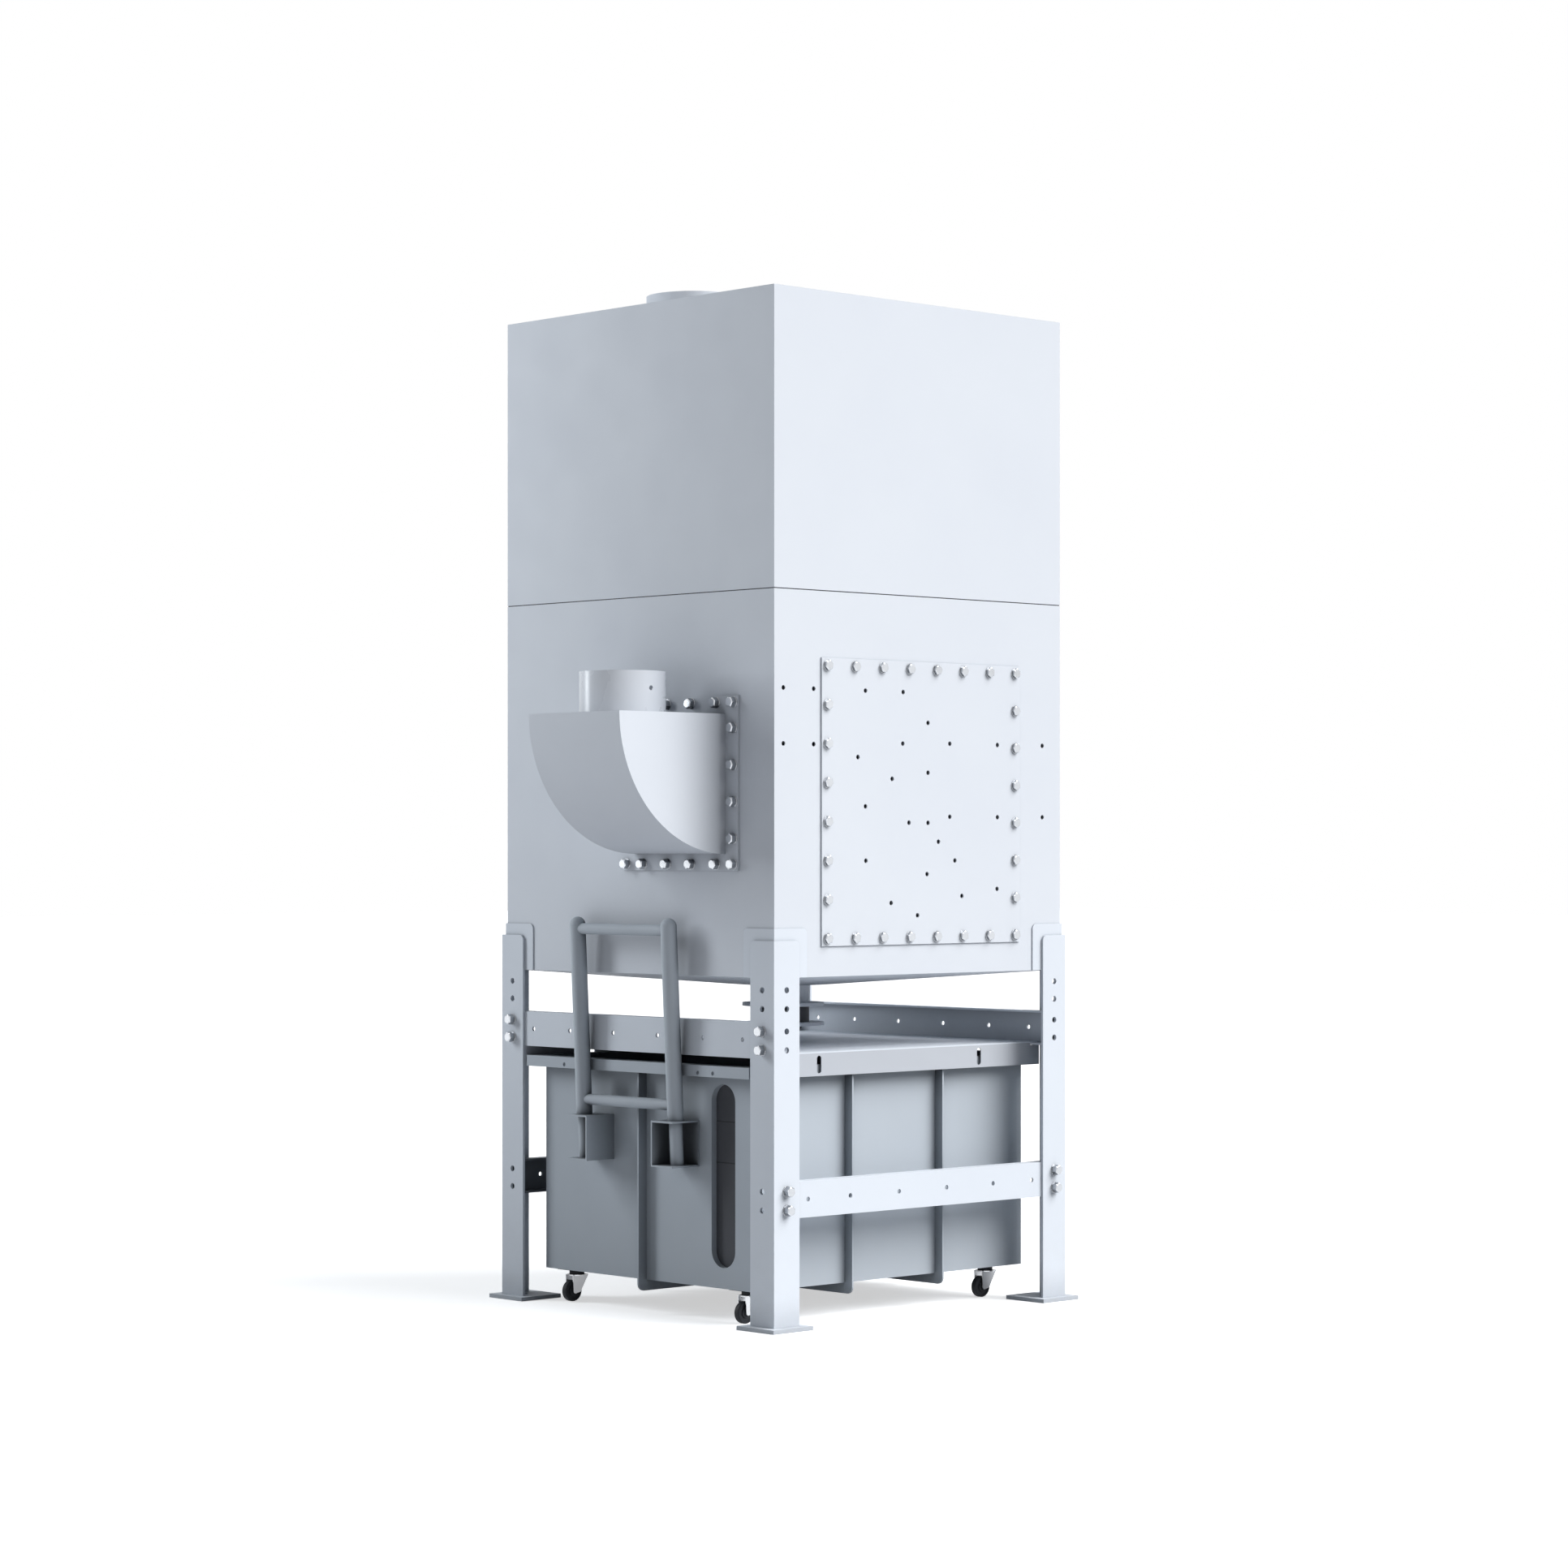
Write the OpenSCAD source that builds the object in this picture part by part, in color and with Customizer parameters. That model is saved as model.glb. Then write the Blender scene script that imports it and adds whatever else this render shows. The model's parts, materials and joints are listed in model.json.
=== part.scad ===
// Wet dust collector: a square sheet casing on four angle legs, with a bend for
// the dusty air on one face, a bolted access cover on the next, an air outlet
// on the roof, and a sludge tank on casters that rolls out between the legs.
// Millimetres, +Z up, origin on the floor under the middle of the casing.
// The inlet face looks along -X, the access face along -Y; the rear is +X and the far side +Y.

/* [Casing] */
// Side of the square casing
casing_w = 1200; // [1100:10:1500]
// Height of the casing's lower edge above the floor
casing_z = 1011; // [980:1:1150]
// Height of the lower module
lower_h = 1114; // [1050:1:1400]
// Height of the upper module, with its roof
upper_h = 866; // [400:1:1200]
// Thickness of the casing sheet
sheet_t = 4; // [3:0.5:6]
// Thickness of the gasket between the modules
gasket_t = 3; // [2:0.5:6]
// Width of the gasket
gasket_w = 30; // [20:1:50]
// Set-back of the gasket behind the casing faces
gasket_inset = 1.5; // [0.5:0.5:4]

/* [Outlet] */
// Outside diameter of the outlet collar
outlet_d = 300; // [200:5:400]
// Height of the outlet collar
outlet_h = 116; // [60:1:200]
// Place of the outlet along X
outlet_x = -30; // [-200:5:200]
// Distance of the outlet's axis from the casing's far face
outlet_inset = 225; // [200:5:600]
// Thickness of the collars' sheet
collar_t = 3; // [2:0.5:5]

/* [Access cover] */
// Distance of the access cover's sides from the casing's corners
cover_side = 184; // [140:1:260]
// Height of the access cover
cover_h = 834; // [700:1:900]
// Thickness of the access cover
cover_t = 5; // [3:0.5:8]
// Height of the cover's middle above the casing's lower edge
cover_z = 505; // [480:1:540]
// Overlap of the cover on the casing wall
cover_lap = 60; // [45:1:80]
// Distance of the cover's screws from its edge
cover_screw_inset = 22; // [15:1:35]
// Screws along each side of the cover
cover_screws = 8; // [4:1:10]
// Diameter of the screw holes
screw_hole_d = 17; // [10:0.5:20]
// Diameter of the instrument holes
gauge_hole_d = 14; // [8:0.5:18]

/* [Inlet] */
// Place of the inlet's middle along Y
inlet_y = -200; // [-240:1:-160]
// Height of the inlet's middle above the casing's lower edge
inlet_z = 559; // [500:1:620]
// Side of the square inlet flange
inlet_flange_w = 506; // [500:1:560]
// Thickness of the inlet flange
inlet_flange_t = 6; // [4:0.5:10]
// Half spacing of the outermost flange bolts
inlet_bolt_reach = 234; // [225:1:240]
// Half spacing of the flange's middle bolts
inlet_bolt_mid = 160; // [140:1:170]
// Half spacing of the flange's innermost bolts
inlet_bolt_near = 53; // [40:1:60]
// Diameter of the flange's bolt holes
inlet_bolt_d = 17; // [10:0.5:20]
// Width of the bend
bend_w = 400; // [360:1:420]
// Outer radius of the bend
bend_r = 405; // [360:1:420]
// Height of the bend's top above the inlet's middle
bend_rise = 201; // [190:1:215]
// Thickness of the bend's sheet
bend_t = 3; // [2:0.5:5]
// Outside diameter of the inlet collar
inlet_d = 250; // [200:1:280]
// Height of the inlet collar
inlet_collar_h = 121; // [60:1:200]
// Distance of the inlet collar's axis from the inlet flange
inlet_collar_reach = 220; // [190:1:230]
// Height of the gauge hole in the inlet collar above the bend
collar_hole_z = 71; // [40:1:90]

/* [Legs] */
// Width of the leg angle's flanges
leg_w = 100; // [80:1:110]
// Thickness of the leg angle
leg_t = 8; // [5:0.5:10]
// Height of the legs' upper ends above the casing's lower edge
leg_lap = 106; // [60:1:110]
// Radius of the rounded free corners
free_corner_r = 16; // [8:1:24]
// Width of the corner plates
corner_plate_w = 130; // [115:1:150]
// Height of the corner plates
corner_plate_h = 141; // [120:1:180]
// Thickness of the corner plates
corner_plate_t = 4; // [3:0.5:6]
// Side of the square foot plates
foot_w = 156; // [130:1:180]
// Thickness of the foot plates
foot_t = 12; // [8:1:20]
// Diameter of the anchor holes
anchor_d = 18; // [12:1:22]
// Diameter of the bolt holes in the legs
leg_hole_d = 18; // [12:0.5:20]
// Vertical pitch of a pair of leg holes
leg_hole_pitch = 54; // [46:1:60]
// Depth of the spare pair of leg holes below the casing
spare_hole_drop = 62; // [40:1:70]

/* [Beams] */
// Height of the beams
beam_h = 105; // [90:1:120]
// Flange width of the beams
beam_flange = 40; // [25:1:50]
// Thickness of the beams
beam_t = 6; // [4:0.5:8]
// Height of the upper beams' middle above the floor
upper_beam_z = 831; // [820:1:860]
// Height of the lower beams' middle above the floor
lower_beam_z = 373; // [300:1:450]
// Diameter of the holes along the beams
beam_hole_d = 14; // [10:0.5:18]
// Half spacing of the innermost beam holes
beam_hole_near = 100; // [80:1:140]
// Half spacing of the middle beam holes
beam_hole_mid = 300; // [250:1:350]
// Half spacing of the outermost beam holes
beam_hole_far = 470; // [430:1:480]

/* [Drain] */
// Fall of the hopper below the casing
hopper_drop = 48; // [40:1:80]
// Outside diameter of the drain pipe
drain_d = 160; // [120:1:180]
// Wall of the drain pipe
drain_t = 5; // [3:0.5:8]
// Outside diameter of the drain flanges
drain_flange_d = 252; // [210:1:280]
// Thickness of the drain flanges
drain_flange_t = 10; // [6:1:22]
// Length of the pipe between the hopper and the upper flange
drain_neck = 53; // [30:1:60]
// Length of the sleeve between the flanges
drain_sleeve = 50; // [30:1:60]
// Thickness of the sleeve
sleeve_t = 6; // [3:0.5:8]
// Outside diameter of the stub below the lower flange
stub_d = 100; // [80:1:120]
// Reach of the drain below the hood
drain_reach = 20; // [4:1:24]

/* [Hood] */
// Thickness of the hood's sheet
hood_t = 3; // [2:0.5:4]
// Depth of the hood's skirts
skirt_h = 67; // [50:1:80]
// Running gap between the hood's skirts and the tank's rim
hood_gap = 7; // [5:0.5:12]
// Gap between the hood's skirts and the legs
bay_gap = 2; // [1:0.5:6]
// Gap between the hood and the upper beams
beam_gap = 1; // [0.5:0.5:4]
// Half spacing of the slots in the hood's skirts
hood_slot_reach = 336; // [250:1:400]
// Height of a slot
hood_slot_h = 52; // [30:1:56]
// Width of a slot
hood_slot_w = 18; // [8:1:20]

/* [Tank] */
// Set-back of the tank's inlet end behind the casing's inlet face
tank_setback = 40; // [30:1:60]
// Set-back of the tank's rear end behind the casing's rear face
tank_rear_setback = 28; // [24:1:100]
// Height of the tank's floor above the ground
tank_z = 100; // [95:1:130]
// Thickness of the tank's sheet
tank_t = 3; // [2:0.5:5]
// Overhang of the rim past the tank's sides
rim_out = 37; // [34:1:40]
// Overhang of the rim past the tank's inlet end
rim_out_inlet = 46; // [40:1:48]
// Height of the rim
rim_h = 33; // [25:1:50]
// Running gap between the rim and the hood above it
rim_gap = 34; // [26:1:50]
// Diameter of the rim holes
rim_hole_d = 12; // [8:0.5:16]
// Height of the ribs
rib_depth = 32; // [20:1:32]
// Thickness of the ribs
rib_t = 6; // [4:0.5:8]
// Half spacing of the cross ribs
rib_reach = 190; // [120:1:260]
// Radius of the ribs' lower corners
rib_r = 22; // [10:1:28]

/* [Sight window] */
// Clear width of the window
window_w = 102; // [60:1:120]
// Clear height of the window
window_h = 535; // [400:1:560]
// Height of the window's lower end above the tank's floor
window_z = 60; // [40:1:70]
// Distance of the window's middle from the tank's access side
window_inset = 122; // [100:1:160]
// Depth of the window's sleeve
window_depth = 25; // [12:1:40]
// Thickness of the window's sleeve
window_t = 3; // [2:0.5:5]
// Thickness of the pane
pane_t = 6; // [3:0.5:8]

/* [Handle] */
// Half spacing of the handle's uprights
handle_reach = 205; // [180:1:210]
// Diameter of the uprights
upright_d = 48; // [42:1:52]
// Diameter of the uprights' spigots inside the brackets
spigot_d = 40; // [30:1:41]
// Diameter of the bars
bar_d = 33; // [24:1:36]
// Distance of the uprights' feet from the tank's inlet end
upright_out = 59; // [57:1:72]
// Lean of the uprights from foot to top
upright_lean = 35; // [20:1:45]
// Height of the uprights' tops above the tank's floor
upright_top = 1078; // [900:1:1100]
// Depth of the top bar below the uprights' tops
top_bar_drop = 36; // [28:1:60]
// Height of the lower bar above the bracket's top
low_bar_rise = 46; // [30:1:80]
// Height of the bracket's underside above the tank's floor
bracket_z = 350; // [300:1:400]
// Height of the brackets
bracket_h = 135; // [110:1:150]
// Width of the brackets
bracket_w = 92; // [84:1:100]
// Depth of the brackets
bracket_out = 109; // [100:1:120]
// Thickness of the brackets' plates
bracket_t = 5; // [3:0.5:8]
// Reach of the brackets past the uprights' axes, away from the middle
bracket_side = 32; // [26:1:40]
// Clearance of the spigots in the brackets
spigot_gap = 0.3; // [0.1:0.1:0.5]

/* [Casters] */
// Distance of the inlet casters' pivots from the tank's inlet end
caster_inset_inlet = 59.5; // [55:0.5:120]
// Distance of the rear casters' pivots from the tank's rear end
caster_inset_rear = 82; // [55:0.5:120]
// Distance of the casters' pivots from the tank's sides
caster_inset_y = 75; // [60:1:120]
// Diameter of a wheel
wheel_d = 65; // [50:1:68]
// Width of a wheel
wheel_w = 20; // [16:1:24]
// Distance of the axle behind the pivot
trail = 20; // [14:1:24]
// Side gap between a wheel and its fork
wheel_gap = 5; // [5:0.5:8]
// Thickness of the forks
fork_t = 3; // [2:0.5:4]
// Diameter of the forks' crowns
crown_d = 60; // [46:1:64]
// Reach of the forks' cheeks past the axle, towards the pivot
cheek_reach = 22; // [10:1:26]
// Diameter of the axles
axle_d = 8; // [6:0.5:10]
// Diameter of the pivot pins
pivot_d = 12; // [8:0.5:14]
// Diameter of the bearing heads
head_d = 46; // [36:1:52]
// Height of the bearing heads
head_h = 14; // [5:0.5:16]
// Side of the square caster plates
caster_plate_w = 84; // [70:1:100]
// Thickness of the caster plates
caster_plate_t = 4; // [3:0.5:6]
// Running gap of the pins and heads
pin_gap = 0.25; // [0.1:0.05:0.3]

/* [Hidden] */

// Fineness of round faces, and the overshoot of a cut past its faces
$fn = 64;
cut = 1;

casing_half = casing_w / 2;
seam_z = casing_z + lower_h;
upper_z = seam_z + gasket_t;
roof_z = upper_z + upper_h - sheet_t;
outlet_y = casing_half - outlet_inset;
cover_w = casing_w - 2 * cover_side;
cover_mid_z = casing_z + cover_z;
// Instrument holes in the access cover, as drilled for gauges and switches:
// places from its middle, as parts of its width and height
gauge_holes = [
    [-0.288, 0.391], [-0.101, 0.391], [0.024, 0.285], [-0.103, 0.209], [0.135, 0.213], [0.382, 0.213],
    [-0.325, 0.158], [0.024, 0.108], [-0.156, 0.084], [-0.288, -0.014], [0.135, -0.048],
    [0.382, -0.048], [-0.072, -0.07], [0.024, -0.07], [0.077, -0.137], [-0.286, -0.204],
    [0.161, -0.204], [0.019, -0.252], [0.38, -0.307], [0.197, -0.331], [-0.161, -0.353],
    [-0.029, -0.398]
];
// Instrument holes in the access wall beside the cover: distances from the casing's
// inlet corner or rear corner, and heights above the casing's lower edge
wall_holes_inlet = [[36, 831], [156, 831], [36, 671], [156, 671]];
wall_holes_rear = [[79, 684], [79, 466]];

leg_in = casing_half + corner_plate_t;
leg_out = leg_in + leg_t;
leg_mid = leg_out - leg_w / 2;
leg_top_z = casing_z + leg_lap;
spare_hole_z = casing_z - spare_hole_drop;
leg_hole_levels = [
    for (z = [spare_hole_z, upper_beam_z, lower_beam_z], side = [-1, 1]) z + side * leg_hole_pitch / 2
];
beam_l = 2 * leg_in;
beam_holes = [for (reach = [beam_hole_near, beam_hole_mid, beam_hole_far], side = [-1, 1]) side * reach];

inlet_mid_z = casing_z + inlet_z;
bend_face_x = -casing_half - inlet_flange_t;
bend_top_z = inlet_mid_z + bend_rise;
collar_x = bend_face_x - inlet_collar_reach;
duct_w = bend_w - 2 * bend_t;
duct_h = bend_r - 2 * bend_t;
inlet_bolts = [
    for (reach = [inlet_bolt_near, inlet_bolt_mid, inlet_bolt_reach], side = [-1, 1]) side * reach
];

hopper_low_z = casing_z - hopper_drop;
flange_high_z = hopper_low_z - drain_neck - drain_flange_t;
sleeve_z = flange_high_z - drain_sleeve;
flange_low_z = sleeve_z - drain_flange_t;

beam_low_z = upper_beam_z - beam_h / 2;
hood_z = beam_low_z + beam_t;
hood_in_y = leg_out - leg_w - bay_gap - hood_t;
hood_half_l = leg_in - beam_t - beam_gap;
skirt_half_l = leg_in - beam_flange - beam_gap;
tank_w = 2 * (hood_in_y - hood_gap - rim_out);
tank_inlet_x = -casing_half + tank_setback;
tank_rear_x = casing_half - tank_rear_setback;
tank_l = tank_rear_x - tank_inlet_x;
tank_mid_x = (tank_inlet_x + tank_rear_x) / 2;
rim_inlet_x = tank_inlet_x - rim_out_inlet;
rim_rear_x = tank_rear_x + rim_out;
rim_top_z = hood_z - rim_gap;
wall_top_z = rim_top_z - tank_t;
// Places of the fixing holes in the rim's inlet side, along Y
rim_holes = [-345, -280, 323];
window_y = -tank_w / 2 + window_inset;

bracket_low_z = tank_z + bracket_z;
bracket_high_z = bracket_low_z + bracket_h;
upright_foot_z = bracket_low_z + bracket_t;
upright_top_z = tank_z + upright_top;
upright_rise = upright_top_z - upright_foot_z;
upright_tilt = atan(upright_lean / upright_rise);
upright_x = tank_inlet_x - upright_out;
low_bar_z = bracket_high_z + low_bar_rise;
top_bar_z = upright_top_z - top_bar_drop;

axle_z = wheel_d / 2;
head_low_z = tank_z - caster_plate_t - head_h;
crown_high_z = head_low_z - pin_gap;
fork_inner_w = wheel_w + 2 * wheel_gap;
fork_outer_w = fork_inner_w + 2 * fork_t;
caster_inlet_x = tank_inlet_x + caster_inset_inlet;
caster_rear_x = tank_rear_x - caster_inset_rear;
caster_y = tank_w / 2 - caster_inset_y;

paint = [0.85, 0.88, 0.92];
frame_paint = [0.84, 0.87, 0.91];
tank_paint = [0.80, 0.83, 0.87];
steel = [0.70, 0.71, 0.72];
black = [0.06, 0.06, 0.07];
glass = [0.18, 0.20, 0.23];

// Shared shapes

// Rectangle with its lower left corner at the origin and its upper right corner rounded
module free_corner_plate(w, h) {
    r = free_corner_r;
    square([w, h - r]);
    square([w - r, h]);
    translate([w - r, h - r]) circle(r);
}

// Upright slot with round ends, centred
module slot_outline(w, h) {
    square([w, h - w], center = true);
    for (side = [-1, 1]) translate([0, side * (h - w) / 2]) circle(d = w);
}

// Angle with its outer edge on the Z axis and its flanges along +X and +Y
module corner_angle(w, h, t) {
    translate([0, t, 0]) rotate([90, 0, 0]) linear_extrude(t) free_corner_plate(w, h);
    rotate([90, 0, 90]) linear_extrude(t) free_corner_plate(w, h);
}

// Copies to the four corners, each turned outwards by mirroring
module at_corner(x_side, y_side) {
    mirror([x_side > 0 ? 1 : 0, 0, 0]) mirror([0, y_side > 0 ? 1 : 0, 0]) children();
}

module at_every_corner() {
    for (x_side = [-1, 1], y_side = [-1, 1]) at_corner(x_side, y_side) children();
}

// Copy to the rear, or to the far side, by mirroring
module on_side(axis, side) {
    mirror(side > 0 ? axis : [0, 0, 0]) children();
}

// Bar along Y
module bar_y(d, length) {
    rotate([90, 0, 0]) cylinder(d = d, h = length, center = true);
}

// Bar along X
module bar_x(d, length) {
    rotate([0, 90, 0]) cylinder(d = d, h = length, center = true);
}

module tube(d, t, h) {
    difference() {
        cylinder(d = d, h = h);
        translate([0, 0, -cut]) cylinder(d = d - 2 * t, h = h + 2 * cut);
    }
}

// Legs and beams

module foot_plates() {
    foot_in = leg_out + (foot_w - leg_w) / 2;
    color(frame_paint) at_every_corner() difference() {
        translate([-foot_in, -foot_in, 0]) cube([foot_w, foot_w, foot_t]);
        translate([-leg_mid, -leg_mid, -cut]) cylinder(d = anchor_d, h = foot_t + 2 * cut);
    }
}

module leg(x_side, y_side) {
    color(frame_paint) at_corner(x_side, y_side) difference() {
        translate([-leg_out, -leg_out, foot_t]) corner_angle(leg_w, leg_top_z - foot_t, leg_t);
        for (z = leg_hole_levels) {
            translate([-leg_out, -leg_mid, z]) bar_x(leg_hole_d, 4 * leg_t);
            translate([-leg_mid, -leg_out, z]) bar_y(leg_hole_d, 4 * leg_t);
        }
    }
}

module corner_plates() {
    color(frame_paint) at_every_corner() translate([-leg_in, -leg_in, casing_z])
        corner_angle(corner_plate_w, corner_plate_h, corner_plate_t);
}

// Channel along Y at the inlet side, its web against the legs and its flanges inwards
module beam(z) {
    difference() {
        translate([-leg_in, -beam_l / 2, z - beam_h / 2]) cube([beam_flange, beam_l, beam_h]);
        translate([-leg_in + beam_t, -beam_l / 2 - cut, z - beam_h / 2 + beam_t])
            cube([beam_flange, beam_l + 2 * cut, beam_h - 2 * beam_t]);
        for (y = beam_holes) translate([-leg_in, y, z]) bar_x(beam_hole_d, 4 * beam_t);
        for (y = [-leg_mid, leg_mid], side = [-1, 1])
            translate([-leg_in, y, z + side * leg_hole_pitch / 2]) bar_x(leg_hole_d, 4 * beam_t);
    }
}

module upper_beam(side) {
    color(frame_paint) on_side([1, 0, 0], side) beam(upper_beam_z);
}

module lower_beam(side) {
    color(frame_paint) on_side([0, 1, 0], side) rotate(90) beam(lower_beam_z);
}

// Casing

// Wall along Y at the inlet side; the walls of the other pair fit between two of these
module long_wall(z, h) {
    translate([-casing_half, -casing_half, z]) cube([sheet_t, casing_w, h]);
}

// Wall along X at the access side
module short_wall(z, h) {
    inner_w = casing_w - 2 * sheet_t;
    translate([-inner_w / 2, -casing_half, z]) cube([inner_w, sheet_t, h]);
}

module lower_wall_inlet() {
    color(paint) difference() {
        long_wall(casing_z, lower_h);
        inlet_duct(-casing_half - cut, sheet_t + 2 * cut);
        inlet_bolt_holes(-casing_half, 4 * sheet_t);
    }
}

module lower_wall_rear() {
    color(paint) mirror([1, 0, 0]) long_wall(casing_z, lower_h);
}

module lower_wall_access() {
    opening_w = cover_w - 2 * cover_lap;
    opening_h = cover_h - 2 * cover_lap;
    color(paint) difference() {
        short_wall(casing_z, lower_h);
        translate([-opening_w / 2, -casing_half - cut, cover_mid_z - opening_h / 2])
            cube([opening_w, sheet_t + 2 * cut, opening_h]);
        cover_screw_holes(4 * sheet_t);
        for (hole = wall_holes_inlet) wall_gauge_hole(-casing_half + hole[0], hole[1]);
        for (hole = wall_holes_rear) wall_gauge_hole(casing_half - hole[0], hole[1]);
    }
}

module wall_gauge_hole(x, z) {
    translate([x, -casing_half, casing_z + z]) bar_y(gauge_hole_d, 4 * sheet_t);
}

module lower_wall_far() {
    color(paint) mirror([0, 1, 0]) short_wall(casing_z, lower_h);
}

// Shallow pyramid with its point down
module pyramid(z) {
    translate([0, 0, z]) linear_extrude(height = hopper_drop, scale = casing_w / drain_d)
        square(drain_d, center = true);
}

module hopper() {
    color(paint) difference() {
        pyramid(hopper_low_z);
        pyramid(hopper_low_z + sheet_t);
        translate([0, 0, hopper_low_z - cut]) cylinder(d = drain_d - 2 * drain_t, h = hopper_drop);
    }
}

module module_gasket() {
    outer_w = casing_w - 2 * gasket_inset;
    inner_w = outer_w - 2 * gasket_w;
    color(black) translate([0, 0, seam_z]) linear_extrude(gasket_t) difference() {
        square(outer_w, center = true);
        square(inner_w, center = true);
    }
}

module upper_wall_x(side) {
    color(paint) on_side([1, 0, 0], side) long_wall(upper_z, roof_z - upper_z);
}

module upper_wall_y(side) {
    color(paint) on_side([0, 1, 0], side) short_wall(upper_z, roof_z - upper_z);
}

module roof() {
    color(paint) difference() {
        translate([-casing_half, -casing_half, roof_z]) cube([casing_w, casing_w, sheet_t]);
        translate([outlet_x, outlet_y, roof_z - cut])
            cylinder(d = outlet_d - 2 * collar_t, h = sheet_t + 2 * cut);
    }
}

module outlet_collar() {
    color(paint) translate([outlet_x, outlet_y, roof_z + sheet_t]) tube(outlet_d, collar_t, outlet_h);
}

// Access cover

module cover_screw_holes(length) {
    reach_x = cover_w / 2 - cover_screw_inset;
    reach_z = cover_h / 2 - cover_screw_inset;
    last = cover_screws - 1;
    for (i = [0 : last], k = [0 : last]) if (i == 0 || i == last || k == 0 || k == last)
        translate([reach_x * (2 * i / last - 1), -casing_half, cover_mid_z + reach_z * (2 * k / last - 1)])
            bar_y(screw_hole_d, length);
}

module access_cover() {
    color(paint) difference() {
        translate([-cover_w / 2, -casing_half - cover_t, cover_mid_z - cover_h / 2])
            cube([cover_w, cover_t, cover_h]);
        cover_screw_holes(4 * cover_t);
        for (hole = gauge_holes)
            translate([hole[0] * cover_w, -casing_half, cover_mid_z + hole[1] * cover_h])
                bar_y(gauge_hole_d, 4 * cover_t);
    }
}

// Inlet

// Straight duct opening behind the bend, from x over the given length
module inlet_duct(x, length) {
    translate([x, inlet_y - duct_w / 2, bend_top_z - bend_t - duct_h]) cube([length, duct_w, duct_h]);
}

module inlet_bolt_holes(x, length) {
    for (a = inlet_bolts, edge = [-inlet_bolt_reach, inlet_bolt_reach]) {
        translate([x, inlet_y + a, inlet_mid_z + edge]) bar_x(inlet_bolt_d, length);
        if (abs(a) < inlet_bolt_reach)
            translate([x, inlet_y + edge, inlet_mid_z + a]) bar_x(inlet_bolt_d, length);
    }
}

module inlet_flange() {
    half = inlet_flange_w / 2;
    color(paint) difference() {
        translate([bend_face_x, inlet_y - half, inlet_mid_z - half])
            cube([inlet_flange_t, inlet_flange_w, inlet_flange_w]);
        inlet_duct(bend_face_x - cut, inlet_flange_t + 2 * cut);
        inlet_bolt_holes(bend_face_x, 4 * inlet_flange_t);
    }
}

// Quarter disc below and outside the bend's upper inner edge
module quarter_disc(r) {
    intersection() {
        circle(r, $fn = 128);
        translate([-r, -r]) square(r);
    }
}

// Upright plates that follow the bend's side outline, from y over the width
module bend_slice(y, w) {
    translate([bend_face_x, y + w, bend_top_z]) rotate([90, 0, 0]) linear_extrude(w) children();
}

module inlet_bend() {
    color(paint) bend_slice(inlet_y - bend_w / 2, bend_w) difference() {
        quarter_disc(bend_r);
        circle(bend_r - bend_t, $fn = 128);
        translate([-bend_r, -bend_t]) square([bend_r, bend_t]);
    }
}

module inlet_cheeks() {
    for (y = [inlet_y - bend_w / 2, inlet_y + bend_w / 2 - bend_t])
        color(paint) bend_slice(y, bend_t) difference() {
            quarter_disc(bend_r - bend_t);
            translate([-bend_r, -bend_t]) square([bend_r, bend_t]);
        }
}

module inlet_top() {
    color(paint) difference() {
        translate([bend_face_x - bend_r, inlet_y - bend_w / 2, bend_top_z - bend_t])
            cube([bend_r, bend_w, bend_t]);
        translate([collar_x, inlet_y, bend_top_z - bend_t - cut])
            cylinder(d = inlet_d - 2 * collar_t, h = bend_t + 2 * cut);
    }
}

module inlet_collar() {
    color(paint) translate([collar_x, inlet_y, bend_top_z]) difference() {
        tube(inlet_d, collar_t, inlet_collar_h);
        translate([0, -inlet_d / 2, collar_hole_z]) bar_y(gauge_hole_d, inlet_d / 2);
    }
}

// Drain

module drain_outlet() {
    color(frame_paint) translate([0, 0, flange_high_z]) {
        tube(drain_d, drain_t, drain_flange_t + drain_neck);
        tube(drain_flange_d, (drain_flange_d - drain_d) / 2 + drain_t, drain_flange_t);
    }
}

module drain_sleeve_ring() {
    color(black) translate([0, 0, sleeve_z]) tube(drain_d, sleeve_t, drain_sleeve);
}

module drain_stub() {
    foot_z = hood_z - drain_reach;
    color(frame_paint) translate([0, 0, foot_z]) {
        tube(stub_d, drain_t, flange_low_z + drain_flange_t - foot_z);
        translate([0, 0, flange_low_z - foot_z])
            tube(drain_flange_d, (drain_flange_d - stub_d) / 2 + drain_t, drain_flange_t);
    }
}

// Hood over the tank, laid on the lower flanges of the upper beams

module hood_top() {
    half = hood_in_y + hood_t;
    color(paint) difference() {
        translate([-hood_half_l, -half, hood_z]) cube([2 * hood_half_l, 2 * half, hood_t]);
        translate([0, 0, hood_z - cut]) cylinder(d = stub_d, h = hood_t + 2 * cut);
    }
}

// Skirts between the beams, with tongues under the beams' flanges to the legs
module hood_skirts() {
    low_z = hood_z - skirt_h;
    tongue_half_l = leg_in - beam_gap;
    color(paint) for (side = [-1, 1]) on_side([0, 1, 0], side) translate([0, -hood_in_y - hood_t, low_z])
        difference() {
            union() {
                translate([-skirt_half_l, 0, 0]) cube([2 * skirt_half_l, hood_t, skirt_h]);
                translate([-tongue_half_l, 0, 0])
                    cube([2 * tongue_half_l, hood_t, beam_low_z - beam_gap - low_z]);
            }
            for (x = [-hood_slot_reach, hood_slot_reach])
                translate([x, hood_t + cut, skirt_h / 2]) rotate([90, 0, 0])
                    linear_extrude(hood_t + 2 * cut) slot_outline(hood_slot_w, hood_slot_h);
        }
}

// Tank

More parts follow.
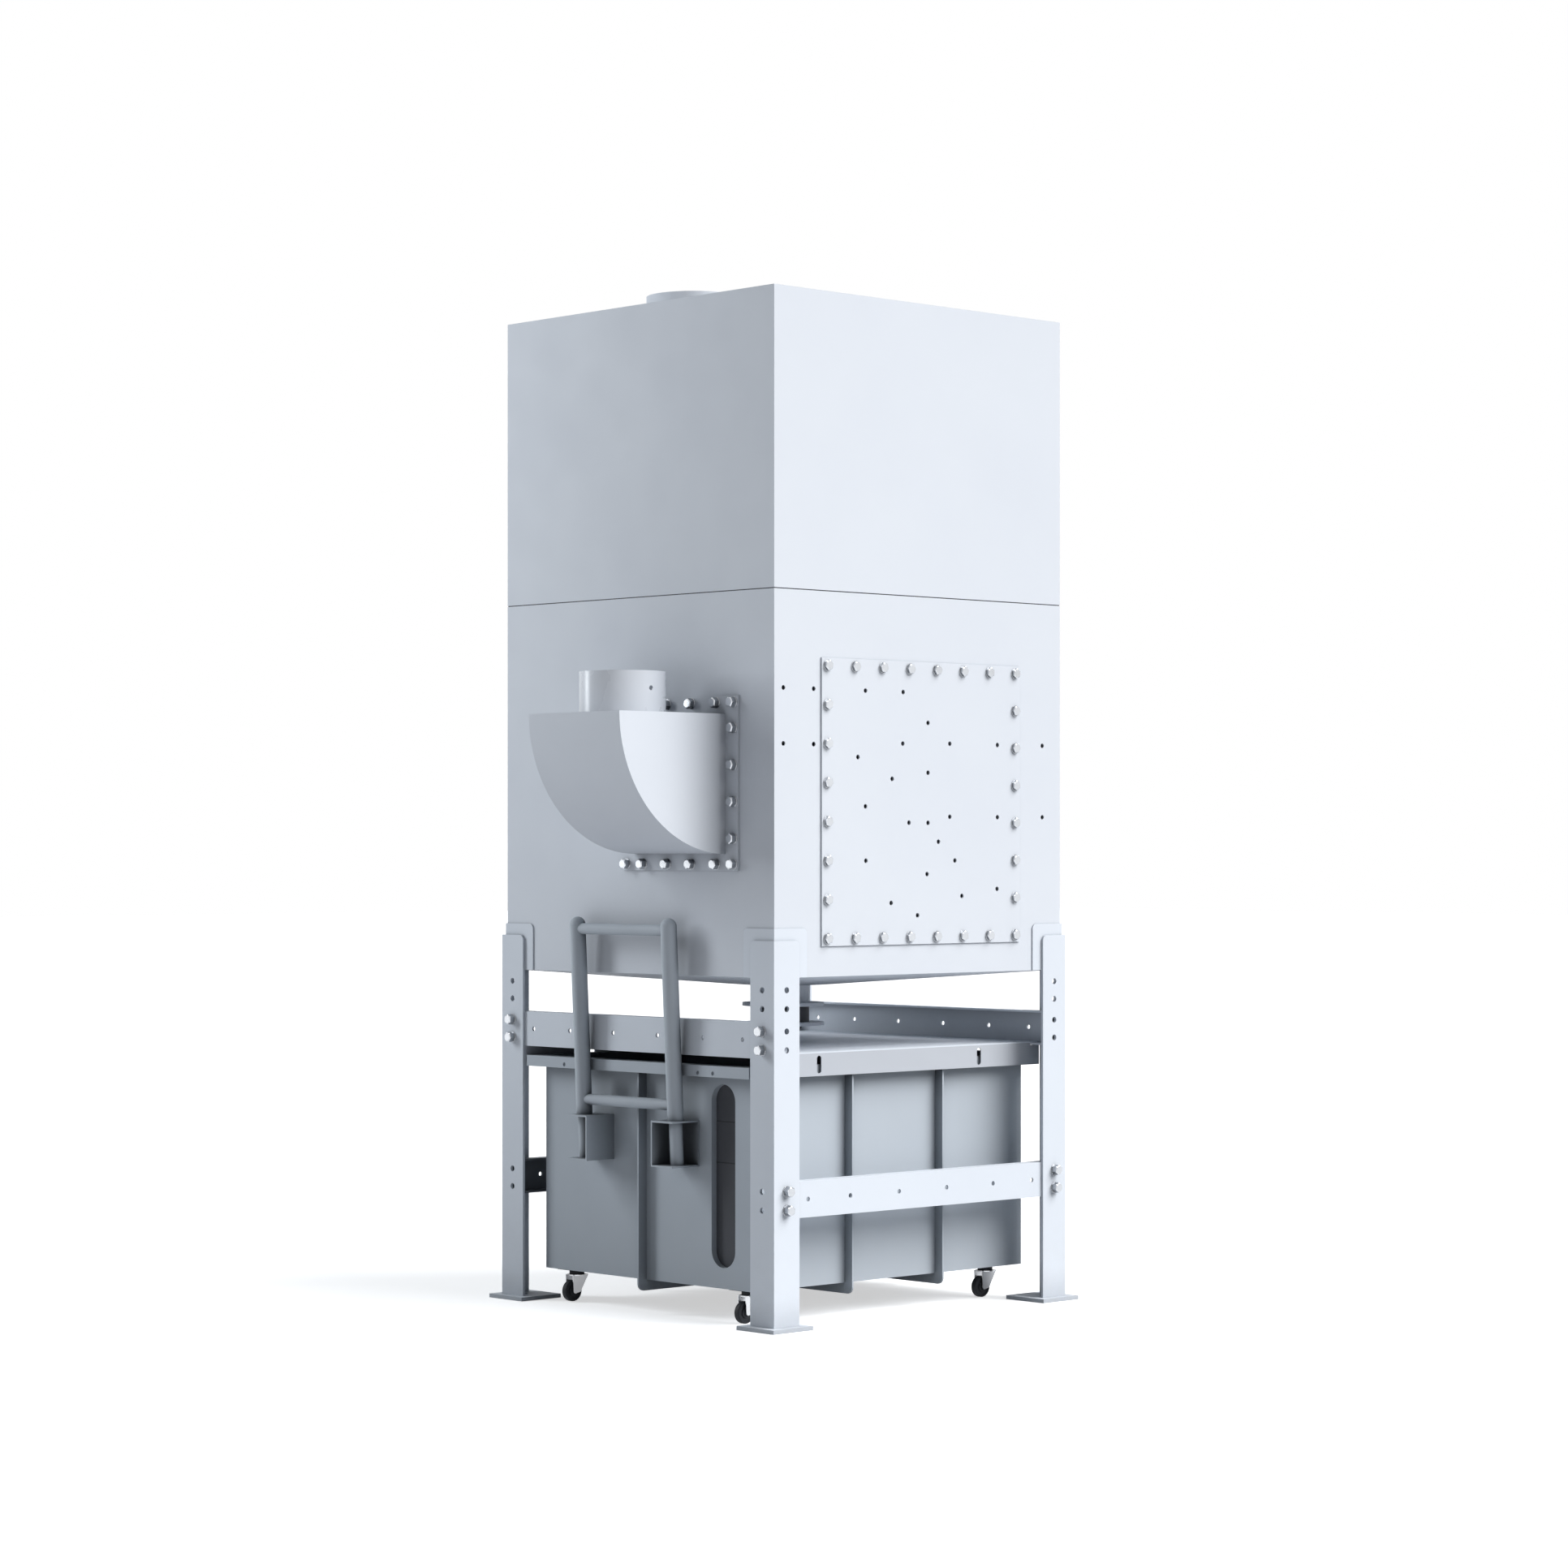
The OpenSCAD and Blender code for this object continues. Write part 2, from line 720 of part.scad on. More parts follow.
module window_outline(grow) {
    translate([window_y, tank_z + window_z + window_h / 2])
        slot_outline(window_w + 2 * grow, window_h + 2 * grow);
}

// Solid with the window's outline, from x over the given depth
module window_solid(x, depth, grow) {
    translate([x, 0, 0]) rotate([90, 0, 90]) linear_extrude(depth) window_outline(grow);
}

module tank_end(x) {
    translate([x, -tank_w / 2, tank_z]) cube([tank_t, tank_w, wall_top_z - tank_z]);
}

module tank_end_inlet() {
    color(tank_paint) difference() {
        tank_end(tank_inlet_x);
        window_solid(tank_inlet_x - cut, tank_t + 2 * cut, window_t);
    }
}

module tank_end_rear() {
    color(tank_paint) tank_end(tank_rear_x - tank_t);
}

module tank_side(side) {
    color(tank_paint) on_side([0, 1, 0], side) translate([tank_inlet_x + tank_t, -tank_w / 2, tank_z])
        cube([tank_l - 2 * tank_t, tank_t, wall_top_z - tank_z]);
}

module tank_floor() {
    color(tank_paint) translate([tank_inlet_x + tank_t, -tank_w / 2 + tank_t, tank_z])
        cube([tank_l - 2 * tank_t, tank_w - 2 * tank_t, tank_t]);
}

module tank_rim() {
    l = rim_rear_x - rim_inlet_x;
    w = tank_w + 2 * rim_out;
    color(tank_paint) difference() {
        translate([rim_inlet_x, -w / 2, rim_top_z - rim_h]) cube([l, w, rim_h]);
        translate([rim_inlet_x + tank_t, -w / 2 + tank_t, rim_top_z - rim_h - cut])
            cube([l - 2 * tank_t, w - 2 * tank_t, rim_h - tank_t + cut]);
        translate([tank_inlet_x + tank_t, -tank_w / 2 + tank_t, rim_top_z - rim_h])
            cube([tank_l - 2 * tank_t, tank_w - 2 * tank_t, rim_h + cut]);
        for (y = rim_holes)
            translate([rim_inlet_x, y, rim_top_z - rim_h * 2 / 3]) bar_x(rim_hole_d, 4 * tank_t);
    }
}

// U-shaped rib outline round a tank of the given width, from the rim down and under the floor
module rib_outline(w) {
    half = w / 2 + rib_depth;
    h = wall_top_z - tank_z + rib_depth;
    difference() {
        union() {
            translate([-half, rib_r]) square([2 * half, h - rib_r]);
            translate([-half + rib_r, 0]) square([2 * (half - rib_r), h]);
            for (side = [-1, 1]) translate([side * (half - rib_r), rib_r]) circle(rib_r);
        }
        translate([-w / 2, rib_depth]) square([w, h]);
    }
}

module tank_ribs() {
    low_z = tank_z - rib_depth;
    color(tank_paint) {
        for (side = [-1, 1]) translate([tank_mid_x + side * rib_reach - rib_t / 2, 0, low_z])
            rotate([90, 0, 90]) linear_extrude(rib_t) rib_outline(tank_w);
        translate([tank_mid_x, rib_t / 2, low_z])
            rotate([90, 0, 0]) linear_extrude(rib_t) rib_outline(tank_l);
    }
}

module window_sleeve() {
    color(tank_paint) difference() {
        window_solid(tank_inlet_x, window_depth, window_t);
        window_solid(tank_inlet_x - cut, window_depth + 2 * cut, 0);
    }
}

module window_pane() {
    color(glass) window_solid(tank_inlet_x + window_depth - pane_t, pane_t, 0);
}

// Push handle

// Leaning round on an upright's axis, from below its foot to the given length above the foot
module leaning_round(y, d, length) {
    translate([upright_x, y, upright_foot_z]) rotate([0, -upright_tilt, 0]) translate([0, 0, -upright_d])
        cylinder(d = d, h = upright_d + length);
}

// Level slab across both uprights, for trimming them
module handle_slab(low_z, high_z) {
    translate([upright_x - 2 * upright_d, -handle_reach - upright_d, low_z])
        cube([4 * upright_d, 2 * (handle_reach + upright_d), high_z - low_z]);
}

// Place on the uprights' axes at a height
function upright_x_at(z) = upright_x - upright_lean * (z - upright_foot_z) / upright_rise;

module push_handle() {
    dome_z = upright_top_z - upright_d / 2;
    spigot_l = bracket_high_z + upright_d - upright_foot_z;
    color(tank_paint) {
        difference() {
            union() {
                for (side = [-1, 1]) {
                    leaning_round(side * handle_reach, upright_d, upright_rise - upright_d / 2);
                    translate([upright_x_at(dome_z), side * handle_reach, dome_z]) sphere(d = upright_d);
                }
                for (z = [low_bar_z, top_bar_z])
                    translate([upright_x_at(z), 0, z]) bar_y(bar_d, 2 * handle_reach);
            }
            handle_slab(upright_foot_z - 2 * upright_d, bracket_high_z);
        }
        difference() {
            for (side = [-1, 1]) leaning_round(side * handle_reach, spigot_d, spigot_l);
            handle_slab(upright_foot_z - 2 * upright_d, upright_foot_z);
        }
    }
}

// Bracket at the access side: two plates, a web towards the middle and a back on the tank's end
module bracket() {
    outer_x = tank_inlet_x - bracket_out;
    outer_y = -handle_reach - bracket_side;
    translate([outer_x, outer_y, bracket_low_z]) cube([bracket_out, bracket_w, bracket_t]);
    difference() {
        translate([outer_x, outer_y, bracket_high_z - bracket_t]) cube([bracket_out, bracket_w, bracket_t]);
        leaning_round(-handle_reach, spigot_d + 2 * spigot_gap, upright_rise / 2);
    }
    translate([outer_x, outer_y + bracket_w - bracket_t, bracket_low_z])
        cube([bracket_out, bracket_t, bracket_h]);
    translate([tank_inlet_x - bracket_t, outer_y, bracket_low_z]) cube([bracket_t, bracket_w, bracket_h]);
}

module handle_brackets() {
    color(tank_paint) for (side = [-1, 1]) on_side([0, 1, 0], side) bracket();
}

// Casters

module at_caster(x_side, y_side) {
    translate([x_side < 0 ? caster_inlet_x : caster_rear_x, y_side * caster_y, 0]) children();
}

module caster_plates() {
    plate_z = tank_z - caster_plate_t;
    color(black) for (x_side = [-1, 1], y_side = [-1, 1]) at_caster(x_side, y_side) {
        translate([-caster_plate_w / 2, -caster_plate_w / 2, plate_z])
            cube([caster_plate_w, caster_plate_w, caster_plate_t]);
        translate([0, 0, head_low_z]) cylinder(d = head_d, h = head_h);
        translate([0, 0, crown_high_z - fork_t]) cylinder(d = pivot_d, h = fork_t + head_h);
    }
}

// Side outline of a fork cheek: from the crown down to the axle behind it
module cheek_outline() {
    eye_r = axle_d;
    corner_r = axle_d / 2;
    corner_x = -trail + cheek_reach - corner_r;
    high = crown_high_z;
    polygon([
        [-crown_d / 2, high], [crown_d / 2, high], [crown_d / 2, high - fork_t],
        [corner_x + corner_r, axle_z], [corner_x, axle_z - corner_r], [-trail, axle_z - eye_r],
        [-trail - eye_r, axle_z], [-crown_d / 2, high - fork_t]
    ]);
    translate([-trail, axle_z]) circle(eye_r);
    translate([corner_x, axle_z]) circle(corner_r);
}

module fork() {
    difference() {
        union() {
            translate([0, 0, crown_high_z - fork_t]) cylinder(d = crown_d, h = fork_t);
            for (side = [-1, 1]) translate([0, side * (fork_inner_w + fork_t) / 2 + fork_t / 2, 0])
                rotate([90, 0, 0]) linear_extrude(fork_t) cheek_outline();
        }
        translate([0, 0, crown_high_z - 2 * fork_t]) cylinder(d = pivot_d + 2 * pin_gap, h = 4 * fork_t);
    }
    translate([-trail, 0, axle_z]) bar_y(axle_d, fork_outer_w);
}

module caster_fork(x_side, y_side) {
    color(steel) at_caster(x_side, y_side) fork();
}

// Half section of a wheel: bore, hub, dished web and rounded tread
module wheel_section() {
    bore_r = axle_d / 2 + pin_gap;
    hub_r = 2 * axle_d;
    tread_r = wheel_w / 5;
    web_w = wheel_w * 0.7;
    rim_r = wheel_d / 2 - 1.4 * tread_r;
    difference() {
        union() {
            translate([bore_r, -wheel_w / 2]) square([wheel_d / 2 - tread_r - bore_r, wheel_w]);
            translate([bore_r, -wheel_w / 2 + tread_r]) square([wheel_d / 2 - bore_r, wheel_w - 2 * tread_r]);
            for (side = [-1, 1])
                translate([wheel_d / 2 - tread_r, side * (wheel_w / 2 - tread_r)]) circle(tread_r);
        }
        for (side = [-1, 1]) translate([hub_r, side > 0 ? web_w / 2 : -wheel_w / 2 - cut])
            square([rim_r - hub_r, (wheel_w - web_w) / 2 + cut]);
    }
}

module caster_wheel(x_side, y_side) {
    color(black) at_caster(x_side, y_side) translate([-trail, 0, axle_z]) rotate([90, 0, 0])
        rotate_extrude($fn = 96) wheel_section();
}

foot_plates();
leg(-1, -1);  // leg_inlet_access
leg(-1, 1);  // leg_inlet_far
leg(1, -1);  // leg_rear_access
leg(1, 1);  // leg_rear_far
corner_plates();
upper_beam(-1);  // upper_beam_inlet
upper_beam(1);  // upper_beam_rear
lower_beam(-1);  // lower_beam_access
lower_beam(1);  // lower_beam_far
lower_wall_inlet();
lower_wall_rear();
lower_wall_access();
lower_wall_far();
hopper();
module_gasket();
upper_wall_x(-1);  // upper_wall_inlet
upper_wall_x(1);  // upper_wall_rear
upper_wall_y(-1);  // upper_wall_access
upper_wall_y(1);  // upper_wall_far
roof();
outlet_collar();
access_cover();
inlet_flange();
inlet_bend();
inlet_cheeks();
inlet_top();
inlet_collar();
drain_outlet();
drain_sleeve_ring();
drain_stub();
hood_top();
hood_skirts();
tank_end_inlet();
tank_end_rear();
tank_side(-1);  // tank_side_access
tank_side(1);  // tank_side_far
tank_floor();
tank_rim();
tank_ribs();
window_sleeve();
window_pane();
push_handle();
handle_brackets();
caster_plates();
caster_fork(-1, -1);  // caster_fork_inlet_access
caster_fork(-1, 1);  // caster_fork_inlet_far
caster_fork(1, -1);  // caster_fork_rear_access
caster_fork(1, 1);  // caster_fork_rear_far
caster_wheel(-1, -1);  // caster_wheel_inlet_access
caster_wheel(-1, 1);  // caster_wheel_inlet_far
caster_wheel(1, -1);  // caster_wheel_rear_access
caster_wheel(1, 1);  // caster_wheel_rear_far
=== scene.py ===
"""Studio scene of the wet dust collector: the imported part, its bolts and screws, paint, light and camera."""

import json
import math

import bpy
import numpy as np
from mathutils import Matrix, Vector


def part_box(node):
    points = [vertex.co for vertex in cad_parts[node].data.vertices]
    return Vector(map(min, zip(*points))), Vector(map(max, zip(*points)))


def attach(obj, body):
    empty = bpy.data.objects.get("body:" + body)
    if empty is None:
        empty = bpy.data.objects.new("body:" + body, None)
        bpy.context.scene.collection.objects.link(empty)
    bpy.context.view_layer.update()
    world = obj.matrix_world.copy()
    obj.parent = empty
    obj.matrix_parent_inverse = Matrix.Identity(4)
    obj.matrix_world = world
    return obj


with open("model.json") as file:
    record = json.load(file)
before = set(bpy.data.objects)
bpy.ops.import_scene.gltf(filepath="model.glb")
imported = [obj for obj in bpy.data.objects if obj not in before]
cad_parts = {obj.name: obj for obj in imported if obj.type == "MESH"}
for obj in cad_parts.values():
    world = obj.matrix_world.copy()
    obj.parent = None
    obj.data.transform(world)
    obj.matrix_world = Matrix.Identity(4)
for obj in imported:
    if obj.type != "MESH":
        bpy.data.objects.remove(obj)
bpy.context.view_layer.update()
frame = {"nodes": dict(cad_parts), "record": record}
scene = bpy.context.scene

# Places in metres, taken from the part's own nodes
LEG_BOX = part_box("leg_inlet_access")
BEAM_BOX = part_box("upper_beam_inlet")
LOW_BEAM_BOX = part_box("lower_beam_access")
COVER_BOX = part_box("access_cover")
FLANGE_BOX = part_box("inlet_flange")
LEG_FACE = -LEG_BOX[0].x
LEG_MID = LEG_FACE - (LEG_BOX[1].x - LEG_BOX[0].x) / 2
UPPER_BEAM_Z = (BEAM_BOX[0].z + BEAM_BOX[1].z) / 2
LOWER_BEAM_Z = (LOW_BEAM_BOX[0].z + LOW_BEAM_BOX[1].z) / 2

# Bolt rows: pitch, height of the heads and thickness of what they clamp
LEG_BOLT_HALF_PITCH = 0.027
LEG_HEAD_H = 0.020
LEG_GRIP = 0.014
COVER_SCREW_INSET = 0.022
COVER_SCREWS_PER_SIDE = 8
SCREW_HEAD_H = 0.010
SCREW_GRIP = 0.009
FLANGE_BOLT_STEPS = (0.053, 0.160, 0.234)
FLANGE_HEAD_H = 0.018
FLANGE_GRIP = 0.010
TURN_SEED = 7

# Hexagon bolt: half width across flats, chamfer, washer, shank and nut
HEX_INNER_R = 0.0135
HEX_MARGIN = 0.001
HEAD_CHAMFER = 0.0025
CHAMFER_SLOPE = 1.6
WASHER_R = 0.0165
WASHER_H = 0.002
WASHER_EDGE = 0.0005
SHANK_R = 0.008
SHANK_END = 0.004
NUT_H = 0.013
RING_STEPS = 48

# Sprayed coat: cloudy tone, orange peel and uneven gloss
CLOUD_SCALE = 2.2
CLOUD_DETAIL = 3.0
CLOUD_RANGE = (0.35, 0.7)
PEEL_SCALE = 400.0
PEEL_DETAIL = 2.0
PEEL_DEPTH = 0.0006
GLOSS_SCALE = 9.0
GLOSS_DETAIL = 4.0
GLOSS_RANGE = (0.3, 0.7)
GLOSS_SWING = (-0.05, 0.05)

# Settled dust, painted shade in corners and the level lines of the tank's window
DUST_FACING = (0.5, 1.0)
DUST_HEIGHT = (0.0, 0.35)
DUST_LOW_SHARE = (0.6, 0.0)
DUST_SCALE = 30.0
DUST_DETAIL = 6.0
DUST_RANGE = (0.35, 0.75)
SHADE_SAMPLES = 12
SHADE_RANGE = (0.3, 0.95)
WINDOW_LEVELS = (0.465, 0.585)
WINDOW_LINE = 0.004

# Colours
WHITE = (1.0, 1.0, 1.0, 1.0)
DUST_COLOUR = (0.62, 0.62, 0.60, 1.0)
# Near-black that the corner mask mixes in: painted shade
SHADE_COLOUR = (0.05, 0.055, 0.065, 1.0)
LINE_COLOUR = (0.035, 0.037, 0.042, 1.0)
PAINT_BASE = (0.80, 0.84, 0.90, 1.0)
PAINT_TONE = (0.78, 0.82, 0.885, 1.0)
FRAME_BASE = (0.82, 0.87, 0.94, 1.0)
FRAME_TONE = (0.80, 0.85, 0.92, 1.0)
TANK_BASE = (0.54, 0.59, 0.645, 1.0)
TANK_TONE = (0.52, 0.57, 0.625, 1.0)
# Hood skirts: the frame's pale paint darkened as painted shade under the casing's overhang
SKIRT_SHADED_BASE = (0.58, 0.61, 0.66, 1.0)
SKIRT_SHADED_TONE = (0.56, 0.59, 0.64, 1.0)
STEEL_BASE = (0.68, 0.69, 0.71, 1.0)
STEEL_TONE = (0.62, 0.63, 0.65, 1.0)
ZINC_BASE = (0.60, 0.62, 0.65, 1.0)
ZINC_TONE = (0.55, 0.57, 0.60, 1.0)
HEAD_BASE = (0.02, 0.02, 0.022, 1.0)
HEAD_TONE = (0.03, 0.03, 0.032, 1.0)
TYRE_BASE = (0.008, 0.008, 0.009, 1.0)
TYRE_TONE = (0.012, 0.012, 0.013, 1.0)
GASKET_BASE = (0.10, 0.105, 0.115, 1.0)
GASKET_TONE = (0.13, 0.135, 0.145, 1.0)
# Window pane: opaque near-black as the painted shade of the tank's inside seen through the glass
PANE_SHADE_BASE = (0.07, 0.074, 0.086, 1.0)
PANE_SHADE_TONE = (0.08, 0.084, 0.096, 1.0)

# Floor, background and lamps
FLOOR_HALF = 60.0
FLOOR_DROP = 0.0005
FLOOR_ROUGH = 0.9
FLOOR_LIFT = 0.56
FLOOR_SEEN = (0.93, 0.94, 0.95, 1.0)
FLOOR_BOUNCE = (0.46, 0.47, 0.49, 1.0)
AMBIENT_COLOUR = (0.93, 0.96, 1.0, 1.0)
AMBIENT = 0.05
KEY_FROM = (0.36, -0.66, 0.66)
KEY_STRENGTH = 3.72
KEY_SOFTNESS_DEG = 50.0
KEY_COLOUR = (1.0, 1.0, 1.0)
PANEL_PLACE = (-3.6, 4.5, 3.6)
PANEL_TARGET = (-0.6, 0.0, 1.7)
PANEL_W = 1.4
PANEL_H = 3.6
PANEL_WATTS = 175.0
PANEL_COLOUR = (0.92, 0.965, 1.0)

# Camera fitted to the photo
CAMERA_PLACE = (-8.1942, -8.7022, 1.3762)
CAMERA_AIM = (0.6857, 0.7279, 0.0)
CAMERA_SENSOR = 36.0
CAMERA_LENS = 89.324
CAMERA_SHIFT = 0.04228
CAMERA_FAR = 300.0


# Bolt surfaces

def hexagon_radius(angle, inner_r):
    """Radius of a regular hexagon: inner_r / cos(angle from the middle of the nearest flat)."""
    sector = math.pi / 3
    within = np.mod(angle + sector / 2, sector) - sector / 2
    return inner_r / np.cos(within)


def grid_faces(rows, columns):
    """Quads of a grid that closes on itself along its columns."""
    row, column = np.meshgrid(np.arange(rows - 1), np.arange(columns), indexing="ij")
    following = (column + 1) % columns
    corners = [row * columns + column, (row + 1) * columns + column,
               (row + 1) * columns + following, row * columns + following]
    return np.stack([corner.ravel() for corner in corners], axis=1)


def bolt_grid(grip, head_h):
    """Points and faces of one bolt along +Z, the clamped sheets from z = 0 down to z = -grip.

    Each ring of the grid has radius min(limit, hexagon(angle)) where it belongs to the head or the nut, and
    the plain limit elsewhere, so the head's chamfer is a cone cutting a hexagonal prism.
    """
    corner_r = HEX_INNER_R / math.cos(math.pi / 6)
    side_r = corner_r + HEX_MARGIN
    flat_r = corner_r - CHAMFER_SLOPE * HEAD_CHAMFER
    top = WASHER_H + head_h
    nut_top = -grip - WASHER_H
    nut_end = nut_top - NUT_H
    shank_end = nut_end - SHANK_END
    rings = [
        (0.0, top, True), (flat_r, top, True),
        (side_r, top - HEAD_CHAMFER, True), (side_r, WASHER_H, True),
        (WASHER_R - WASHER_EDGE, WASHER_H, False), (WASHER_R, WASHER_H - WASHER_EDGE, False),
        (WASHER_R, 0.0, False), (SHANK_R, 0.0, False), (SHANK_R, -grip, False),
        (WASHER_R, -grip, False), (WASHER_R, nut_top, False),
        (side_r, nut_top, True), (side_r, nut_end + HEAD_CHAMFER, True),
        (flat_r, nut_end, True), (SHANK_R, nut_end, False),
        (SHANK_R, shank_end, False), (0.0, shank_end, False),
    ]
    angle = np.linspace(0.0, 2 * math.pi, RING_STEPS, endpoint=False)
    hexagon = hexagon_radius(angle, HEX_INNER_R)
    points = []
    for limit, height, is_hexagonal in rings:
        radius = np.minimum(limit, hexagon) if is_hexagonal else np.full(RING_STEPS, limit)
        level = np.full(RING_STEPS, height)
        points.append(np.stack([radius * np.cos(angle), radius * np.sin(angle), level], axis=1))
    return np.concatenate(points), grid_faces(len(rings), RING_STEPS)


def frame_along(normal, turn):
    """Three axes as rows, the last along normal, turned about it by an angle."""
    normal = np.asarray(normal, float)
    first = np.cross(normal, (0.0, 0.0, 1.0))
    second = np.cross(normal, first)
    return np.stack([
        math.cos(turn) * first + math.sin(turn) * second,
        math.cos(turn) * second - math.sin(turn) * first,
        normal,
    ])


def bolt_mesh(name, places, grip, head_h):
    """One piece of many bolts; each place is (point on the outer face, outward normal)."""
    points, faces = bolt_grid(grip, head_h)
    all_points = []
    all_faces = []
    turns = np.random.default_rng(TURN_SEED).uniform(0.0, math.pi / 3, len(places))
    for index, (place, normal) in enumerate(places):
        all_points.append(points @ frame_along(normal, turns[index]) + np.asarray(place, float))
        all_faces.append(faces + index * len(points))
    mesh = bpy.data.meshes.new(name)
    mesh.from_pydata(np.concatenate(all_points).tolist(), [], np.concatenate(all_faces).tolist())
    mesh.update()
    mesh.validate()
    piece = bpy.data.objects.new(name, mesh)
    scene.collection.objects.link(piece)
    return piece


def leg_bolt_places():
    """Two bolts through each leg and beam end: upper beams on the X faces, lower beams on the Y faces."""
    places = []
    for along in (-1, 1):
        for across in (-1, 1):
            for step in (-LEG_BOLT_HALF_PITCH, LEG_BOLT_HALF_PITCH):
                upper = (along * LEG_FACE, across * LEG_MID, UPPER_BEAM_Z + step)
                lower = (across * LEG_MID, along * LEG_FACE, LOWER_BEAM_Z + step)
                places.append((upper, (along, 0.0, 0.0)))
                places.append((lower, (0.0, along, 0.0)))
    return places


def cover_screw_places():
    """Screws round the access cover, on a square grid's outer ring."""
    low, high = COVER_BOX
    count = COVER_SCREWS_PER_SIDE
    ends = (0, count - 1)
    xs = np.linspace(low.x + COVER_SCREW_INSET, high.x - COVER_SCREW_INSET, count)
    zs = np.linspace(low.z + COVER_SCREW_INSET, high.z - COVER_SCREW_INSET, count)
    return [((xs[i], low.y, zs[k]), (0.0, -1.0, 0.0))
            for i in range(count) for k in range(count) if i in ends or k in ends]


def flange_bolt_places():
    """Bolts round the inlet flange, six to a side with shared corners."""
    low, high = FLANGE_BOX
    mid_y = (low.y + high.y) / 2
    mid_z = (low.z + high.z) / 2
    reach = FLANGE_BOLT_STEPS[-1]
    steps = [side * step for step in FLANGE_BOLT_STEPS for side in (-1, 1)]
    offsets = [(step, edge) for step in steps for edge in (-reach, reach)]
    offsets += [(edge, step) for step in steps for edge in (-reach, reach) if abs(step) < reach]
    return [((low.x, mid_y + a, mid_z + b), (-1.0, 0.0, 0.0)) for a, b in offsets]


# Shader nodes

def set_input(links, socket, value):
    """Link an input to a socket, or set a plain value there."""
    if isinstance(value, bpy.types.NodeSocket):
        links.new(value, socket)
    else:
        socket.default_value = value


def math_node(nodes, links, operation, *values):
    """Result of a math node; each value is a socket or a number."""
    node = nodes.new("ShaderNodeMath")
    node.operation = operation
    for socket, value in zip(node.inputs, values):
        set_input(links, socket, value)
    return node.outputs["Value"]


def mix_colour(nodes, links, factor, first, second):
    """Colour mix by a factor socket; first and second are sockets or colours."""
    mix = nodes.new("ShaderNodeMix")
    mix.data_type = "RGBA"
    links.new(factor, mix.inputs["Factor"])
    set_input(links, mix.inputs["A"], first)
    set_input(links, mix.inputs["B"], second)
    return mix.outputs["Result"]


def noise(nodes, links, coordinates, scale, detail):
    """Noise between 0 and 1 over a coordinate socket."""
    texture = nodes.new("ShaderNodeTexNoise")
    texture.inputs["Scale"].default_value = scale
    texture.inputs["Detail"].default_value = detail
    links.new(coordinates, texture.inputs["Vector"])
    return texture.outputs["Fac"]


def map_range(nodes, links, value, source, result):
    """Value moved from the range source to the range result, held at its ends."""
    node = nodes.new("ShaderNodeMapRange")
    links.new(value, node.inputs["Value"])
    for name, number in zip(("From Min", "From Max", "To Min", "To Max"), (*source, *result)):
        node.inputs[name].default_value = number
    return node.outputs["Result"]


def object_place(nodes):
    """Object coordinates."""
    return nodes.new("ShaderNodeTexCoord").outputs["Object"]


def z_part(nodes, links, vector):
    """Z of a vector socket."""
    parts = nodes.new("ShaderNodeSeparateXYZ")
    links.new(vector, parts.inputs["Vector"])
    return parts.outputs["Z"]


def new_group(name, inputs, outputs):
    """Empty shader node group with the given sockets; returns it with its input and output nodes."""
    group = bpy.data.node_groups.new(name, "ShaderNodeTree")
    for socket_name, socket_type in inputs:
        group.interface.new_socket(socket_name, in_out="INPUT", socket_type=socket_type)
    for socket_name, socket_type in outputs:
        group.interface.new_socket(socket_name, in_out="OUTPUT", socket_type=socket_type)
    return group, group.nodes.new("NodeGroupInput"), group.nodes.new("NodeGroupOutput")


def group_node(nodes, group, **values):
    """Node of a group with its inputs set by name."""
    node = nodes.new("ShaderNodeGroup")
    node.node_tree = group
    for name, value in values.items():
        node.inputs[name].default_value = value
    return node


def make_coat_group():
    """Sprayed coat: cloudy tone, fine orange-peel bump and a little uneven gloss, in object coordinates."""
    group, inputs, outputs = new_group(
        "sprayed_coat",
        [("Base", "NodeSocketColor"), ("Tone", "NodeSocketColor"),
         ("Bump", "NodeSocketFloat"), ("Rough", "NodeSocketFloat")],
        [("Color", "NodeSocketColor"), ("Roughness", "NodeSocketFloat"), ("Normal", "NodeSocketVector")])
    nodes, links = group.nodes, group.links
    place = object_place(nodes)
    clouds = noise(nodes, links, place, CLOUD_SCALE, CLOUD_DETAIL)
    cloud = map_range(nodes, links, clouds, CLOUD_RANGE, (0.0, 1.0))
    tinted = mix_colour(nodes, links, cloud, inputs.outputs["Base"], inputs.outputs["Tone"])
    links.new(tinted, outputs.inputs["Color"])
    patches = noise(nodes, links, place, GLOSS_SCALE, GLOSS_DETAIL)
    swing = map_range(nodes, links, patches, GLOSS_RANGE, GLOSS_SWING)
    uneven = math_node(nodes, links, "ADD", inputs.outputs["Rough"], swing)
    links.new(uneven, outputs.inputs["Roughness"])
    bump = nodes.new("ShaderNodeBump")
    bump.inputs["Distance"].default_value = PEEL_DEPTH
    links.new(inputs.outputs["Bump"], bump.inputs["Strength"])
    links.new(noise(nodes, links, place, PEEL_SCALE, PEEL_DETAIL), bump.inputs["Height"])
    links.new(bump.outputs["Normal"], outputs.inputs["Normal"])
    return group


